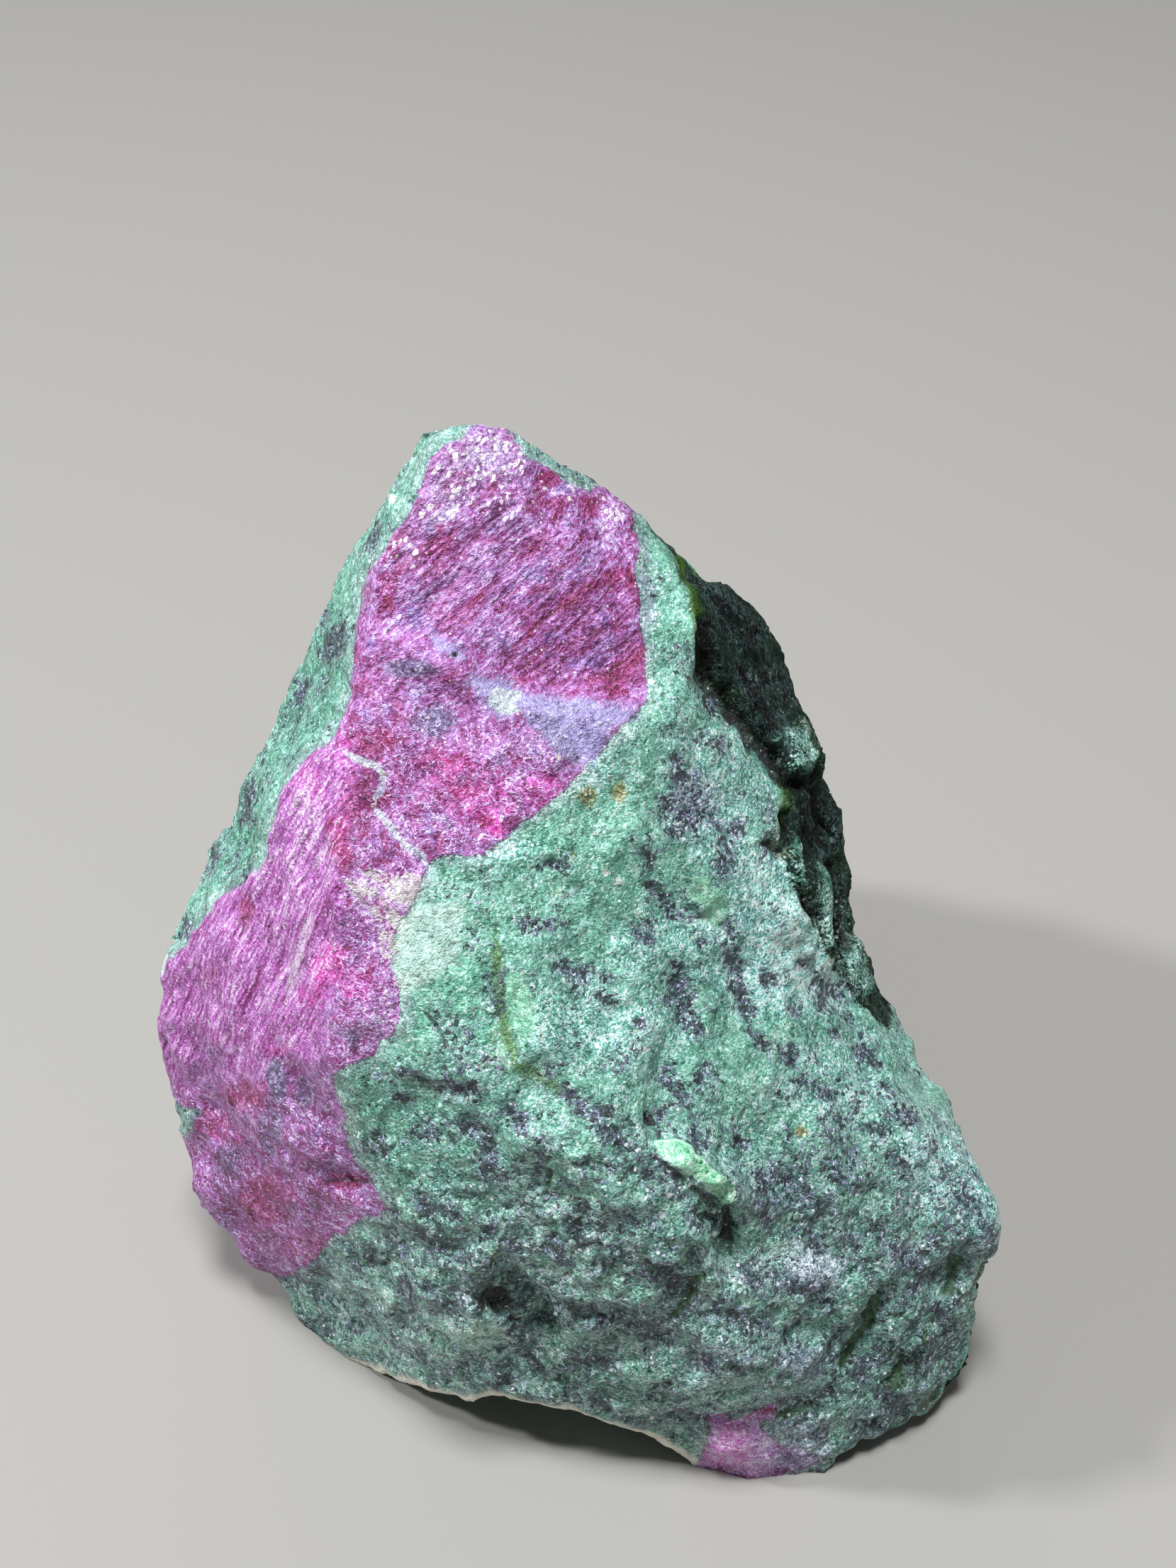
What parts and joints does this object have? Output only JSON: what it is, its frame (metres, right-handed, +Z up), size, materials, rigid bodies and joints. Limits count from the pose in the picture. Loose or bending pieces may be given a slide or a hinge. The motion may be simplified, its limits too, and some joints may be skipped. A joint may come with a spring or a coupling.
{
  "type": "rough ruby in zoisite stone",
  "caption": "Rough broken stone of green zoisite with a rose ruby crystal on its front, standing upright on a flat broken base.",
  "frame": {"origin": "on the ground, under the middle of the stone's bounding box", "axes": "+Z up through the peak, -Y out of the front that shows the ruby, +X to the right of that front"},
  "size_m": [0.053, 0.061, 0.0655],
  "materials": {
    "stone": "rough broken crystalline rock: granular green zoisite with dark hornblende patches and a rose ruby crystal, glinting on small cleavage faces"
  },
  "bodies": {
    "root": {"rough_ruby": "stone"}
  },
  "joints": []
}
